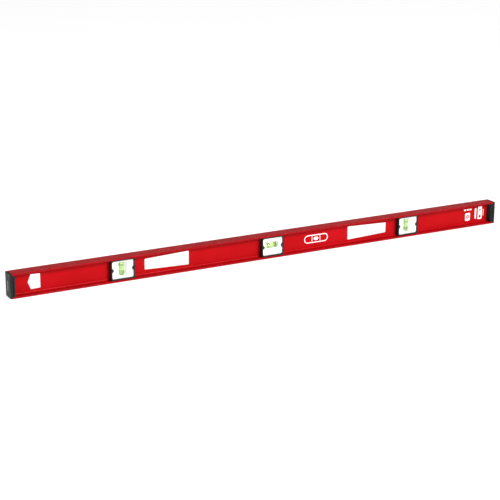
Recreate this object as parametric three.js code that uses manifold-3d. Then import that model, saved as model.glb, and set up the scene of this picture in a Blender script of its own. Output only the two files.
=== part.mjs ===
// Spirit level, 48 in class: a painted aluminium I-beam with rubber end caps and three vial blocks.
// Millimetres, +Z up. X runs along the level, the front faces -Y, and the origin is at the middle of
// the bottom working face.
import * as THREE from 'three';
import { mergeVertices } from 'three/addons/utils/BufferGeometryUtils.js';
import Module from 'manifold-3d';

const wasm = await Module();
wasm.setup();

// ---------------------------------------------------------------- driving dimensions

const overallLength = 1219.2; // 48 in, over the end caps
const beamHeight = 53;
const beamWidth = 30;
const flangeEdge = 4; // thickness of a flange
const webThickness = 2.6;
const filletRadius = 3; // between web and flange
const edgeRadius = 0.8; // outer edges of the flanges

const capPlate = 5.5; // the part of an end cap outside the beam
const capInset = 0.2; // how far the plate stays inside the beam's outline
const capCorner = 1.2;
const capBevel = 0.6;
const plugFront = 12; // from the outer end to the plug's front edge
const plugRoot = 14.8; // from the outer end to the plug's foot on the web
const plugInset = 0.5; // how far the plug's face stays behind the flanges' edges
const plugNose = 1.5; // depth of the curve at the plug's front edge
const plugLean = 0.2; // how far that curve leans along the level
const grooveWidth = 2; // between the plate and the plug's face
const grooveDepth = 1.6;

const plumbFromEnd = 249.3; // outer end to the middle of a plumb block
const handHoleOuter = 303.5; // outer end to the near edge of a hand hole
const handHoleInner = 408.5;
const handHoleOuterHeight = 24;
const handHoleInnerHeight = 31.4;
const handHoleCorner = 2.5;
const hangApex = 42.4; // left end to the point of the hang hole
const hangShoulder = 49;
const hangFar = 70;
const hangShoulderHeight = 32.6;
const hangFarHeight = 30.8;
const hangCorner = 1.6;

const housingWidth = 54.6; // a vial block in front view
const windowWidth = 50.2;
const windowHeight = 39.6;
const windowCorner = 4;
const housingCorner = 2.5;
const housingBevel = 0.7;
const housingFace = 13.3; // from the beam's middle plane to the housing's front face
const reflectorFace = 9.3; // from the middle plane to the white face
const lugRadius = 4; // screw lugs at mid-height
const lugCentre = 25.5;
const cavityGrowth = 0.9; // the housing's cavity is wider than its window by this on each side

const screwSpacing = 48.8; // between the two screws of a block
const screwShank = 1.25;
const screwHead = 2;
const headHeight = 1.4;
const headRecess = 0.3; // how far the heads stay behind the housing's face
const headEdge = 0.5; // rounded edge of a head
const threadReach = 8; // how far a screw goes into the rear housing
const tipLength = 0.6;
const crossDepth = 0.9;
const crossHalfWidth = 0.35;
const crossShare = 0.62; // the cross recess's reach, as a share of the head's radius
const headClearance = 0.2;
const threadClearance = 0.1;

const tubeRadius = 6.2;
const tubeLength = 37;
const boreMiddle = 5.25; // the bore is a barrel, widest in the middle
const boreEnd = 5.05;
const tubeFloor = 2.3; // closed end of the tube
const plugLength = 2.5;
const tubeChamfer = 0.5;
const plugChamfer = 0.4;

const cutoutWidth = 41; // hole in the web behind a vial block
const cutoutHeight = 38;
const cutoutCorner = 4;

const pocketFloor = 1.9; // from the middle plane to the floor of the pocket around a vial
const pocketAtFace = { across: 11.5, along: 16.2 }; // half sizes at the white face
const pocketAtFloor = { across: 7, along: 12.6 };

const plumbBubbleLength = 8;
const plumbBubbleDome = 1.6;
const levelBubbleHalf = new THREE.Vector3(6.3, 4.1, 2.6);
const levelBubbleRise = 2.9;

const fitGap = 0.3; // between fixed pieces
const thinGap = 0.15;
const slipGap = 0.2; // between the two shells of a block
const fluidGap = 0.06;
const overcut = 1; // how far a cutter runs past what it cuts

// ---------------------------------------------------------------- values worked out from them

const halfLength = overallLength / 2;
const halfHeight = beamHeight / 2;
const halfWidth = beamWidth / 2;
const halfWeb = webThickness / 2;
const channelHalf = halfHeight - flangeEdge; // half the gap between the flanges
const beamHalfLength = halfLength - capPlate;
const levelX = 0;
const plumbX = halfLength - plumbFromEnd;
const boreFloor = -tubeLength / 2 + tubeFloor;
const boreTop = tubeLength / 2 - plugLength;
const plumbBubbleTop = boreTop - slipGap / 2;

// ---------------------------------------------------------------- solids and booleans

function solidOf(geometry) {
  const bare = geometry.clone();
  bare.deleteAttribute('normal');
  bare.deleteAttribute('uv');
  const merged = mergeVertices(bare, 1e-4);
  return new wasm.Manifold(new wasm.Mesh({
    numProp: 3,
    vertProperties: merged.attributes.position.array,
    triVerts: new Uint32Array(merged.index.array),
  }));
}

function geometryOf(solid) {
  const mesh = solid.getMesh();
  const geometry = new THREE.BufferGeometry();
  geometry.setAttribute('position', new THREE.BufferAttribute(mesh.vertProperties, 3));
  geometry.setIndex(new THREE.BufferAttribute(mesh.triVerts, 1));
  return geometry;
}

const subtractAll = (solid, cutters) => cutters.reduce((rest, cutter) => rest.subtract(cutter), solid);

// An outline extruded along its own third axis. A bevel rounds the edges at both ends.
function extruded(shape, depth, bevel) {
  return new THREE.ExtrudeGeometry(shape, {
    depth: depth - 2 * bevel,
    bevelEnabled: bevel > 0,
    bevelThickness: bevel,
    bevelSize: bevel,
    bevelOffset: -bevel,
    bevelSegments: 1,
    curveSegments: 3,
  });
}

// An outline in (Y, Z), swept along X from x0 to x1.
function sweepX(shape, x0, x1, bevel = 0) {
  const geometry = extruded(shape, x1 - x0, bevel);
  geometry.applyMatrix4(new THREE.Matrix4().makeBasis(
    new THREE.Vector3(0, 1, 0), new THREE.Vector3(0, 0, 1), new THREE.Vector3(1, 0, 0)));
  geometry.translate(x0 + bevel, 0, 0);
  return solidOf(geometry);
}

// An outline in (X, Z), swept along Y from y0 to y1.
function sweepY(shape, y0, y1, bevel = 0) {
  const geometry = extruded(shape, y1 - y0, bevel);
  geometry.applyMatrix4(new THREE.Matrix4().makeBasis(
    new THREE.Vector3(1, 0, 0), new THREE.Vector3(0, 0, 1), new THREE.Vector3(0, -1, 0)));
  geometry.translate(0, y1 - bevel, 0);
  return solidOf(geometry);
}

// A cylinder along Y at (x, z) = (x, 0), from y0 to y1.
function rodY(radius, x, y0, y1, sides = 12) {
  const geometry = new THREE.CylinderGeometry(radius, radius, y1 - y0, sides);
  geometry.translate(x, (y0 + y1) / 2, 0);
  return solidOf(geometry);
}

function box(x0, x1, y0, y1, z0, z1) {
  const geometry = new THREE.BoxGeometry(x1 - x0, y1 - y0, z1 - z0);
  geometry.translate((x0 + x1) / 2, (y0 + y1) / 2, (z0 + z1) / 2);
  return solidOf(geometry);
}

// A round body about the Y axis from a profile of [radius, y] points that starts and ends on the axis.
function turned(profile, sides = 18) {
  return new THREE.LatheGeometry(profile.map(([radius, y]) => new THREE.Vector2(radius, y)), sides);
}

// ---------------------------------------------------------------- outlines

// A closed polygon whose corners are rounded by one radius.
function roundedPolygon(corners, radius) {
  const shape = new THREE.Shape();
  const count = corners.length;
  corners.forEach((corner, i) => {
    const here = new THREE.Vector2(...corner);
    const before = new THREE.Vector2(...corners[(i + count - 1) % count]).sub(here).normalize();
    const after = new THREE.Vector2(...corners[(i + 1) % count]).sub(here).normalize();
    const halfAngle = Math.acos(before.dot(after)) / 2;
    const reach = radius / Math.tan(halfAngle);
    const start = here.clone().addScaledVector(before, reach);
    const end = here.clone().addScaledVector(after, reach);
    if (i === 0) shape.moveTo(start.x, start.y);
    else shape.lineTo(start.x, start.y);
    shape.quadraticCurveTo(here.x, here.y, end.x, end.y);
  });
  shape.closePath();
  return shape;
}

function roundedRectangle(width, height, radius) {
  const x = width / 2;
  const y = height / 2;
  return roundedPolygon([[-x, -y], [x, -y], [x, y], [-x, y]], radius);
}

// The window outline with a round screw lug biting into each side. Growth moves the straight sides
// outwards, and lug is the radius of the bite.
function luggedWindow(growth, lug) {
  const x = windowWidth / 2 + growth;
  const z = windowHeight / 2 + growth;
  const corner = windowCorner;
  const offset = lugCentre - x;
  const reach = Math.sqrt(lug ** 2 - offset ** 2);
  const open = Math.atan2(reach, -offset);
  const shape = new THREE.Shape();
  shape.moveTo(-x + corner, -z);
  shape.lineTo(x - corner, -z);
  shape.absarc(x - corner, -z + corner, corner, -Math.PI / 2, 0, false);
  shape.lineTo(x, -reach);
  shape.absarc(lugCentre, 0, lug, -open, open, true);
  shape.lineTo(x, z - corner);
  shape.absarc(x - corner, z - corner, corner, 0, Math.PI / 2, false);
  shape.lineTo(-x + corner, z);
  shape.absarc(-x + corner, z - corner, corner, Math.PI / 2, Math.PI, false);
  shape.lineTo(-x, reach);
  shape.absarc(-lugCentre, 0, lug, Math.PI - open, open - Math.PI, true);
  shape.lineTo(-x, -z + corner);
  shape.absarc(-x + corner, -z + corner, corner, Math.PI, 1.5 * Math.PI, false);
  return shape;
}

// The I section of the beam, in (Y, Z) about its middle.
function beamSection() {
  const y = halfWidth;
  const z = halfHeight;
  const e = edgeRadius;
  const f = filletRadius;
  const w = halfWeb;
  const c = channelHalf;
  const s = new THREE.Shape();
  s.moveTo(-y + e, -z);
  s.lineTo(y - e, -z);
  s.absarc(y - e, -z + e, e, -Math.PI / 2, 0, false);
  s.absarc(y - e, -c - e, e, 0, Math.PI / 2, false);
  s.absarc(w + f, -c + f, f, 1.5 * Math.PI, Math.PI, true);
  s.absarc(w + f, c - f, f, Math.PI, Math.PI / 2, true);
  s.absarc(y - e, c + e, e, -Math.PI / 2, 0, false);
  s.absarc(y - e, z - e, e, 0, Math.PI / 2, false);
  s.absarc(-y + e, z - e, e, Math.PI / 2, Math.PI, false);
  s.absarc(-y + e, c + e, e, Math.PI, 1.5 * Math.PI, false);
  s.absarc(-w - f, c - f, f, Math.PI / 2, 0, true);
  s.absarc(-w - f, -c + f, f, 0, -Math.PI / 2, true);
  s.absarc(-y + e, -c - e, e, Math.PI / 2, Math.PI, false);
  s.absarc(-y + e, -z + e, e, Math.PI, 1.5 * Math.PI, false);
  return s;
}

// The room inside the front channel, in (Y, Z): a rectangle whose corners on the web are cut off, so
// that what fills it clears the fillets.
function channelSection(gap) {
  const front = -halfWidth - overcut;
  const back = -halfWeb - thinGap;
  const z = channelHalf - gap;
  const shape = new THREE.Shape();
  shape.moveTo(front, -z);
  shape.lineTo(back - filletRadius, -z);
  shape.lineTo(back, -z + filletRadius);
  shape.lineTo(back, z - filletRadius);
  shape.lineTo(back - filletRadius, z);
  shape.lineTo(front, z);
  shape.closePath();
  return shape;
}

// ---------------------------------------------------------------- the beam

function handHole(side) {
  const near = side * (halfLength - handHoleOuter);
  const far = side * (halfLength - handHoleInner);
  const corners = [
    [near, handHoleOuterHeight / 2],
    [far, handHoleInnerHeight / 2],
    [far, -handHoleInnerHeight / 2],
    [near, -handHoleOuterHeight / 2],
  ];
  return side > 0 ? corners : corners.reverse();
}

function hangHole() {
  const x = (fromEnd) => -halfLength + fromEnd;
  return [
    [x(hangApex), 0],
    [x(hangShoulder), -hangShoulderHeight / 2],
    [x(hangFar), -hangFarHeight / 2],
    [x(hangFar), hangFarHeight / 2],
    [x(hangShoulder), hangShoulderHeight / 2],
  ];
}

function beamSolid() {
  const reach = halfWeb + overcut;
  const cutout = roundedRectangle(cutoutWidth, cutoutHeight, cutoutCorner);
  const cutters = [
    sweepY(roundedPolygon(hangHole(), hangCorner), -reach, reach),
    sweepY(roundedPolygon(handHole(-1), handHoleCorner), -reach, reach),
    sweepY(roundedPolygon(handHole(1), handHoleCorner), -reach, reach),
  ];
  for (const x of [-plumbX, levelX, plumbX]) {
    cutters.push(sweepY(cutout, -reach, reach).translate(x, 0, 0));
    for (const side of [-1, 1]) {
      cutters.push(rodY(screwShank + fitGap, x + side * screwSpacing / 2, -reach, reach));
    }
  }
  return subtractAll(sweepX(beamSection(), -beamHalfLength, beamHalfLength), cutters);
}

// ---------------------------------------------------------------- end cap

// One moulding: a plate over the end of the beam and a tapered plug in each channel. The outer end is
// at x = 0 and the beam starts at x = capPlate.
function endCapSolid() {
  const plateShape = roundedRectangle(beamWidth - 2 * capInset, beamHeight - 2 * capInset, capCorner);
  const plate = sweepX(plateShape, 0, capPlate + capBevel, capBevel).intersect(
    box(0, capPlate, -beamWidth, beamWidth, -beamHeight, beamHeight));
  return plate.add(plugSolid()).add(plugSolid().rotate([180, 0, 0]));
}

// The plug in the front channel, drawn in plan and swept up, with a groove beside the plate.
function plugSolid() {
  const face = -halfWidth + plugInset;
  const root = -halfWeb - thinGap;
  const start = capPlate - overcut; // inside the plate, which it joins
  const plan = new THREE.Shape();
  plan.moveTo(start, root);
  plan.lineTo(start, face + grooveDepth);
  plan.lineTo(capPlate + grooveWidth, face + grooveDepth);
  plan.lineTo(capPlate + grooveWidth, face);
  plan.lineTo(plugFront - plugNose, face);
  plan.quadraticCurveTo(plugFront, face, plugFront + plugLean, face + plugNose);
  plan.lineTo(plugRoot, root);
  plan.closePath();
  const height = 2 * (channelHalf - fitGap);
  const geometry = extruded(plan, height, 0);
  geometry.translate(0, 0, -height / 2);
  return solidOf(geometry).intersect(sweepX(channelSection(fitGap), 0, plugRoot + overcut));
}

// ---------------------------------------------------------------- vial block, front half facing -Y

// Holes for the two screws of a block: the front half has the heads, the rear half the threads.
function screwHoles(hasHeads) {
  const threadEnd = -halfWeb - threadReach - tipLength;
  const seat = -housingFace + headRecess + headHeight;
  return [-1, 1].flatMap((side) => {
    const x = side * screwSpacing / 2;
    if (!hasHeads) return [rodY(screwShank + threadClearance, x, threadEnd, 0)];
    return [
      rodY(screwShank + fitGap, x, -housingFace - overcut, 0),
      rodY(screwHead + headClearance, x, -housingFace - overcut, seat),
    ];
  });
}

function housingSolid(hasHeads) {
  const shape = roundedRectangle(housingWidth, 2 * (channelHalf - fitGap), housingCorner);
  const outer = sweepY(shape, -housingFace, housingBevel + overcut, housingBevel);
  const inChannel = outer.intersect(sweepX(channelSection(fitGap), -housingWidth, housingWidth));
  return subtractAll(inChannel, [
    sweepY(luggedWindow(0, lugRadius), -housingFace - overcut, -reflectorFace),
    sweepY(luggedWindow(cavityGrowth, lugRadius), -reflectorFace - slipGap, 0),
    ...screwHoles(hasHeads),
  ]);
}

// The pocket round a vial: its walls slope from the white face to the pocket's floor.
function pocketSolid(isLevel) {
  const halfSizes = ({ across, along }) => (isLevel ? [along, across] : [across, along]);
  const atFace = halfSizes(pocketAtFace);
  const atFloor = halfSizes(pocketAtFloor);
  const share = (reflectorFace + overcut - pocketFloor) / (reflectorFace - pocketFloor);
  const inFront = atFloor.map((half, i) => half + (atFace[i] - half) * share);
  const geometry = new THREE.BoxGeometry(2, 2, 2);
  const position = geometry.getAttribute('position');
  for (let i = 0; i < position.count; i += 1) {
    const isFront = position.getY(i) < 0;
    const half = isFront ? inFront : atFloor;
    const y = isFront ? -reflectorFace - overcut : -pocketFloor;
    position.setXYZ(i, position.getX(i) * half[0], y, position.getZ(i) * half[1]);
  }
  return solidOf(geometry);
}

// The white reflector half. The vial lies in a bed that runs under the pocket's floor and end walls.
function reflectorSolid(isLevel) {
  const inHousing = sweepY(
    luggedWindow(cavityGrowth - slipGap, lugRadius + slipGap), -reflectorFace, -halfWeb - thinGap)
    .intersect(sweepX(channelSection(fitGap + slipGap), -housingWidth, housingWidth));
  const inWeb = sweepY(
    roundedRectangle(cutoutWidth - 2 * fitGap, cutoutHeight - 2 * fitGap, cutoutCorner),
    -halfWeb - overcut, -thinGap);
  const bedRadius = tubeRadius + fitGap;
  const bed = new THREE.CylinderGeometry(bedRadius, bedRadius, tubeLength + 2 * fitGap, 18);
  if (isLevel) bed.rotateZ(Math.PI / 2);
  else bed.rotateX(Math.PI / 2);
  return subtractAll(inHousing.add(inWeb), [pocketSolid(isLevel), solidOf(bed)]);
}

// ---------------------------------------------------------------- vial, along its own Y axis

const boreRadius = (y) => boreMiddle - (boreMiddle - boreEnd) * (y / boreTop) ** 2;

// Points of the barrel bore from y0 to y1, each moved inwards by gap.
function borePoints(y0, y1, gap, steps = 4) {
  return Array.from({ length: steps + 1 }, (_, i) => {
    const y = y0 + (y1 - y0) * i / steps;
    return [boreRadius(y) - gap, y];
  });
}

function tubeGeometry() {
  const end = tubeLength / 2;
  return turned([
    [0, -end],
    [tubeRadius - tubeChamfer, -end],
    [tubeRadius, -end + tubeChamfer],
    [tubeRadius, end - tubeChamfer],
    [tubeRadius - tubeChamfer, end],
    [boreEnd, end],
    ...borePoints(boreTop, boreFloor, 0),
    [0, boreFloor],
  ]);
}

function vialPlugGeometry() {
  const radius = boreEnd - thinGap;
  const bottom = boreTop + fluidGap;
  const top = tubeLength / 2 - fitGap;
  return turned([
    [0, bottom],
    [radius - plugChamfer, bottom],
    [radius, bottom + plugChamfer],
    [radius, top - plugChamfer],
    [radius - plugChamfer, top],
    [0, top],
  ]);
}

// A plumb vial stands upright, so its bubble fills the top of the bore and the fluid ends below it.
function plumbFluidGeometry() {
  const top = plumbBubbleTop - plumbBubbleLength - slipGap;
  return turned([
    [0, boreFloor + fluidGap],
    ...borePoints(boreFloor + fluidGap, top, fluidGap),
    [0, top],
  ]);
}

function plumbBubbleGeometry() {
  const radius = boreEnd - thinGap;
  const bottom = plumbBubbleTop - plumbBubbleLength;
  const dome = plumbBubbleDome;
  const curve = (y, towards) => [0.5, 0.85].map((share) => [
    radius * share,
    y + towards * dome * (1 - Math.sqrt(1 - share ** 2)),
  ]);
  return turned([
    [0, bottom],
    ...curve(bottom, 1),
    [radius, bottom + dome],
    [radius, plumbBubbleTop - dome],
    ...curve(plumbBubbleTop, -1).reverse(),
    [0, plumbBubbleTop],
  ]);
}

// The level vial lies along X: its bubble is a flattened oval at the top of the bore.
function levelBubbleOval(growth) {
  const geometry = new THREE.SphereGeometry(1, 16, 8);
  geometry.scale(levelBubbleHalf.x + growth, levelBubbleHalf.y + growth, levelBubbleHalf.z + growth);
  geometry.translate(0, 0, levelBubbleRise);
  return solidOf(geometry);
}

function levelBubbleSolid() {
  const radius = boreEnd - slipGap / 2;
  const bore = new THREE.CylinderGeometry(radius, radius, tubeLength, 18);
  bore.rotateZ(Math.PI / 2);
  return levelBubbleOval(0).intersect(solidOf(bore));
}

function levelFluidSolid() {
  const body = turned([
    [0, boreFloor + fluidGap],
    ...borePoints(boreFloor + fluidGap, boreTop - fluidGap, fluidGap),
    [0, boreTop - fluidGap],
  ]);
  body.rotateZ(-Math.PI / 2);
  return solidOf(body).subtract(levelBubbleOval(fitGap));
}

// ---------------------------------------------------------------- screw, its head facing -Y

function screwSolid() {
  const headTop = -housingFace + headRecess;
  const headFoot = headTop + headHeight - fluidGap; // just clear of its seat
  const tip = halfWeb + threadReach;
  const body = turned([
    [0, headTop],
    [screwHead * 0.7, headTop],
    [screwHead, headTop + headEdge],
    [screwHead, headFoot],
    [screwShank, headFoot],
    [screwShank, tip - tipLength],
    [screwShank * 0.6, tip],
    [0, tip],
  ], 12);
  const reach = screwHead * crossShare;
  const top = headTop - overcut;
  const floor = headTop + crossDepth;
  return subtractAll(solidOf(body), [
    box(-reach, reach, top, floor, -crossHalfWidth, crossHalfWidth),
    box(-crossHalfWidth, crossHalfWidth, top, floor, -reach, reach),
  ]);
}

// ---------------------------------------------------------------- materials

const finish = (color, roughness, metalness = 0, opacity = 1) => () => new THREE.MeshStandardMaterial({
  color,
  roughness,
  metalness,
  opacity,
  transparent: opacity < 1,
});

const redPaint = finish(0xcc1018, 0.38, 0.1);
const blackRubber = finish(0x2c2d30, 0.75);
const blackPlastic = finish(0x1e2022, 0.5);
const whitePlastic = finish(0xf4f6f5, 0.45);
const clearAcrylic = finish(0xf2fff2, 0.08, 0, 0.35);
const greenFluid = finish(0xb4e61e, 0.1, 0, 0.75);
const gas = finish(0xe8ffb0, 0.05, 0, 0.4);
const blackSteel = finish(0x33353a, 0.4, 0.8);

function named(name, geometry, material) {
  const mesh = new THREE.Mesh(geometry, material());
  mesh.name = name;
  return mesh;
}

// ---------------------------------------------------------------- assembly

const level = new THREE.Group();
const middle = new THREE.Group(); // everything is placed about the beam's middle height
middle.position.z = halfHeight;
level.add(middle);

middle.add(named('i_beam_frame', geometryOf(beamSolid()), redPaint));

for (const [name, x, turn] of [['end_cap_left', -halfLength, 0], ['end_cap_right', halfLength, Math.PI]]) {
  const cap = named(name, geometryOf(endCapSolid()), blackRubber);
  cap.position.x = x;
  cap.rotation.z = turn;
  middle.add(cap);
}

// A vial tube and what is in it. The tube's own Y axis turns to +Z in a plumb block, so that the plug
// is on top, and to +X in a level block.
function addVial(block, prefix, isLevel) {
  const toAxis = (geometry) => (isLevel ? geometry.rotateZ(-Math.PI / 2) : geometry.rotateX(Math.PI / 2));
  block.add(named(`${prefix}_vial_tube`, toAxis(tubeGeometry()), clearAcrylic));
  block.add(named(`${prefix}_vial_plug`, toAxis(vialPlugGeometry()), whitePlastic));
  const fluid = isLevel ? geometryOf(levelFluidSolid()) : toAxis(plumbFluidGeometry());
  const bubble = isLevel ? geometryOf(levelBubbleSolid()) : toAxis(plumbBubbleGeometry());
  block.add(named(`${prefix}_fluid`, fluid, greenFluid));
  block.add(named(`${prefix}_bubble`, bubble, gas));
}

function addBlock(prefix, x, isLevel) {
  const block = new THREE.Group();
  block.position.x = x;
  middle.add(block);
  for (const [side, turn] of [['front', 0], ['rear', Math.PI]]) {
    const housingGeometry = geometryOf(housingSolid(side === 'front'));
    const housing = named(`${prefix}_housing_${side}`, housingGeometry, blackPlastic);
    const reflectorGeometry = geometryOf(reflectorSolid(isLevel));
    const reflector = named(`${prefix}_reflector_${side}`, reflectorGeometry, whitePlastic);
    housing.rotation.z = turn;
    reflector.rotation.z = turn;
    block.add(housing, reflector);
  }
  for (const [side, sign] of [['left', -1], ['right', 1]]) {
    const screw = named(`${prefix}_screw_${side}`, geometryOf(screwSolid()), blackSteel);
    screw.position.x = sign * screwSpacing / 2;
    block.add(screw);
  }
  addVial(block, prefix, isLevel);
}

addBlock('left_plumb', -plumbX, false);
addBlock('centre_level', levelX, true);
addBlock('right_plumb', plumbX, false);

export default level;
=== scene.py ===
"""Looks of a 48 in I-beam spirit level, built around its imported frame.

The frame gives every place: the beam, the caps, the blocks and the vials are read from it, and the
values below add what a box can't say. Metres throughout, X along the level, its front facing -Y.
"""

import math

import bmesh
import bpy
from mathutils import Matrix, Vector
from mathutils.geometry import tessellate_polygon


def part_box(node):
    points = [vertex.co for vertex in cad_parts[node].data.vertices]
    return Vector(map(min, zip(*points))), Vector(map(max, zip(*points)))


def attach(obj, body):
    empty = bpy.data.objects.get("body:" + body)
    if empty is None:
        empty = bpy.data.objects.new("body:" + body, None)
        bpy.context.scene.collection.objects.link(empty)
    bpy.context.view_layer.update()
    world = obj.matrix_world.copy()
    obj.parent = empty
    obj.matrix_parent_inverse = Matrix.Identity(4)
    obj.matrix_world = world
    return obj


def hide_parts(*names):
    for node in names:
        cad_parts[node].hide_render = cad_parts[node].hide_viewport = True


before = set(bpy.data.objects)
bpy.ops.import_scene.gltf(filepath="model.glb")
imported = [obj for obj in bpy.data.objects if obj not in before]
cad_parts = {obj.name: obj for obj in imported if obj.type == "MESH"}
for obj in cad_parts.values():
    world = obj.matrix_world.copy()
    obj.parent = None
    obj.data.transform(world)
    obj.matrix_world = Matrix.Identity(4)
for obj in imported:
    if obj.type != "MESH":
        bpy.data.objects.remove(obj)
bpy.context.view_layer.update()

# ------------------------------------------------------------------ sizes

MM = 0.001

FLANGE_EDGE = 4 * MM
WEB_THICKNESS = 2.6 * MM
FILLET_RADIUS = 3 * MM
EDGE_RADIUS = 0.8 * MM
CUT_BEVEL = 0.3 * MM  # at the sawn ends of the beam
HOLE_BEVEL = 0.5 * MM

HAND_HOLE_OUTER = 303.5 * MM  # from the level's outer end
HAND_HOLE_INNER = 408.5 * MM
HAND_HOLE_OUTER_HEIGHT = 24 * MM
HAND_HOLE_INNER_HEIGHT = 31.4 * MM
HAND_HOLE_CORNER = 2.5 * MM
HANG_APEX = 42.4 * MM
HANG_SHOULDER = 49 * MM
HANG_FAR = 70 * MM
HANG_SHOULDER_HEIGHT = 32.6 * MM
HANG_FAR_HEIGHT = 30.8 * MM
HANG_CORNER = 1.6 * MM

CUTOUT_WIDTH = 41 * MM
CUTOUT_HEIGHT = 38 * MM
CUTOUT_CORNER = 4 * MM
SCREW_HOLE_RADIUS = 1.55 * MM

WINDOW_WIDTH = 50.2 * MM
WINDOW_HEIGHT = 39.6 * MM
WINDOW_CORNER = 4 * MM
HOUSING_CORNER = 2.5 * MM
HOUSING_BEVEL = 0.7 * MM
WINDOW_BEVEL = 0.35 * MM
LUG_RADIUS = 4 * MM
LUG_CENTRE = 25.5 * MM
CAVITY_GROWTH = 0.9 * MM
THREAD_DEPTH = 8.5 * MM
THREAD_RADIUS = 1.35 * MM
THREAD_CHAMFER = 0.2 * MM
DRILL_POINT = 0.3 * MM
HEAD_HEIGHT = 1.4 * MM
HEAD_RIM = ((0.70, 0), (0.86, 0.10 * MM), (0.96, 0.28 * MM), (1, 0.5 * MM))  # (share of radius, depth)
HEAD_SEAT_GAP = 0.02 * MM
HEAD_HOLE_RADIUS = 2.2 * MM
HEAD_HOLE_BEVEL = 0.15 * MM
SCREW_SHANK = 1.25 * MM
SCREW_THREAD_TURNS = 9
SCREW_THREAD_START = 8 * MM  # from the tip
SCREW_THREAD_END = 1 * MM
SCREW_THREAD_FLANK = 0.4 * MM
SCREW_THREAD_ROOT = 0.82  # share of the shank's radius
SCREW_POINT = ((0.8, 0.6 * MM), (0.4, 0))  # (share of the shank's radius, distance from the tip)
RECESS_REACH = (0.62, 0.40)  # shares of the head's radius, at its top and at the recess's floor
RECESS_HALF_SLOT = (0.34 * MM, 0.20 * MM)
RECESS_DEPTH = 0.9 * MM

POCKET_ACROSS = (11.5 * MM, 7 * MM)  # half sizes at the white face and at the pocket's floor
POCKET_ALONG = (16.2 * MM, 12.6 * MM)
POCKET_FLOOR = 1.9 * MM  # from the beam's middle plane
POCKET_BEVEL = 0.5 * MM
POCKET_CORNER = 1.8 * MM
REFLECTOR_GAP = 0.2 * MM  # round the reflector in its housing
CAVITY_ROOT_INSET = 0.25 * MM  # inside the housing's own reach, where it meets the web
REFLECTOR_ROOT_INSET = 0.4 * MM
FLATTENED = 0.98  # share of a corner that is taken off where it would meet the fillet

TUBE_WALL_MIDDLE = 0.95 * MM
TUBE_WALL_END = 1.15 * MM
TUBE_FLOOR = 2.3 * MM
TUBE_FLOOR_EDGE = 0.6 * MM
TUBE_MOUTH_EDGE = 0.4 * MM
TUBE_MOUTH_CHAMFER = 0.15 * MM
STOPPER_LENGTH = 2.5 * MM
STOPPER_SEAT = 0.05 * MM
STOPPER_RECESS = 0.3 * MM  # how far its outer face is inside the tube's mouth
STOPPER_EDGE = 0.3 * MM
FLUID_EDGE = 0.4 * MM
FLUID_GAP = -0.02 * MM  # the spirit wets the bore, so it reaches just into the wall
LEVEL_BUBBLE_RISE = 2.9 * MM
LEVEL_BUBBLE_STEPS = 24  # along it
LEVEL_BUBBLE_SIDES = 40
PLUMB_BUBBLE_DOME = 1.6 * MM
RING_PLACES = (6.9 * MM, 9.6 * MM)  # marking rings on each side of a vial's middle
RING_WIDTH = 0.6 * MM
RING_RAISE = 0.04 * MM

CAP_PLATE = 5.5 * MM
CAP_CORNER = 1.2 * MM
CAP_BEVEL = 0.6 * MM
CAP_INSET = 0.2 * MM
RIB_WIDTH = 2.8 * MM  # upright rib on the outer face of a cap
RIB_HEIGHT = 23 * MM
RIB_RAISE = 0.35 * MM
RIB_DROP = 1.5 * MM  # how far the rib's middle is below the cap's
RIB_FOOT = 0.2 * MM
RIB_EDGE = 0.3 * MM
PLUG_FACE = 14.5 * MM
PLUG_FRONT = 12 * MM
PLUG_FOOT = 14.8 * MM
GROOVE_WIDTH = 2 * MM
GROOVE_DEPTH = 1.6 * MM
PLUG_NOSE = 1.5 * MM
PLUG_FOOT_EDGE = 0.6 * MM  # how thick the plug ends on the web
PLUG_CHAMFER = 0.25 * MM
FIT_GAP = 0.3 * MM
THIN_GAP = 0.15 * MM
INK_THICKNESS = 0.05 * MM
INK_LIFT = 0.002 * MM
APART = 0.01 * MM  # keeps two points of an outline from falling together
SLIVER = 0.002 * MM  # a carved mesh merges points closer than this

CAMERA_AZIMUTH = 28.027  # degrees to the left of the front
CAMERA_ELEVATION = 16.8545
CAMERA_DISTANCE = 3.1216
CAMERA_AIM = (-0.0514, 0, 0.0220)
LENS = 101.6
SENSOR_WIDTH = 36
HORIZON_LIGHT = 0.75
ZENITH_LIGHT = 0.10
DARK_FROM = 0.6  # sine of the elevation above which the studio is as dark as overhead
FLOOR_GLOW = 0.85
FLOOR_HALF_SIZE = 20
FLOOR_GAP = 0.1 * MM

# ------------------------------------------------------------------ places, from the frame

BEAM_LOW, BEAM_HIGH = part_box("i_beam_frame")
MID_HEIGHT = (BEAM_LOW.z + BEAM_HIGH.z) / 2
HALF_HEIGHT = (BEAM_HIGH.z - BEAM_LOW.z) / 2
HALF_WIDTH = BEAM_HIGH.y
BEAM_HALF_LENGTH = BEAM_HIGH.x
HALF_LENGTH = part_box("end_cap_right")[1].x
HALF_WEB = WEB_THICKNESS / 2
ROOT = HALF_WEB + THIN_GAP  # depth where what fills a channel ends
CHANNEL_HALF = HALF_HEIGHT - FLANGE_EDGE
TUBE_LOW, TUBE_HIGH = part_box("left_plumb_vial_tube")
TUBE_RADIUS = TUBE_HIGH.y
TUBE_HALF_LENGTH = (TUBE_HIGH.z - TUBE_LOW.z) / 2
BORE_FLOOR = -TUBE_HALF_LENGTH + TUBE_FLOOR
BORE_TOP = TUBE_HALF_LENGTH - STOPPER_LENGTH
BLOCKS = {"left_plumb": False, "centre_level": True, "right_plumb": False}  # True lies along X


def middle_x(node):
    """The middle of a node's box along X."""
    low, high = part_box(node)
    return (low.x + high.x) / 2


# ------------------------------------------------------------------ outlines in a plane

def arc(x, z, radius, start, end, steps=6):
    """Points on an arc about (x, z), from one angle to another in degrees."""
    angles = [math.radians(start + (end - start) * i / steps) for i in range(steps + 1)]
    return [(x + radius * math.cos(a), z + radius * math.sin(a)) for a in angles]


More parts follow.
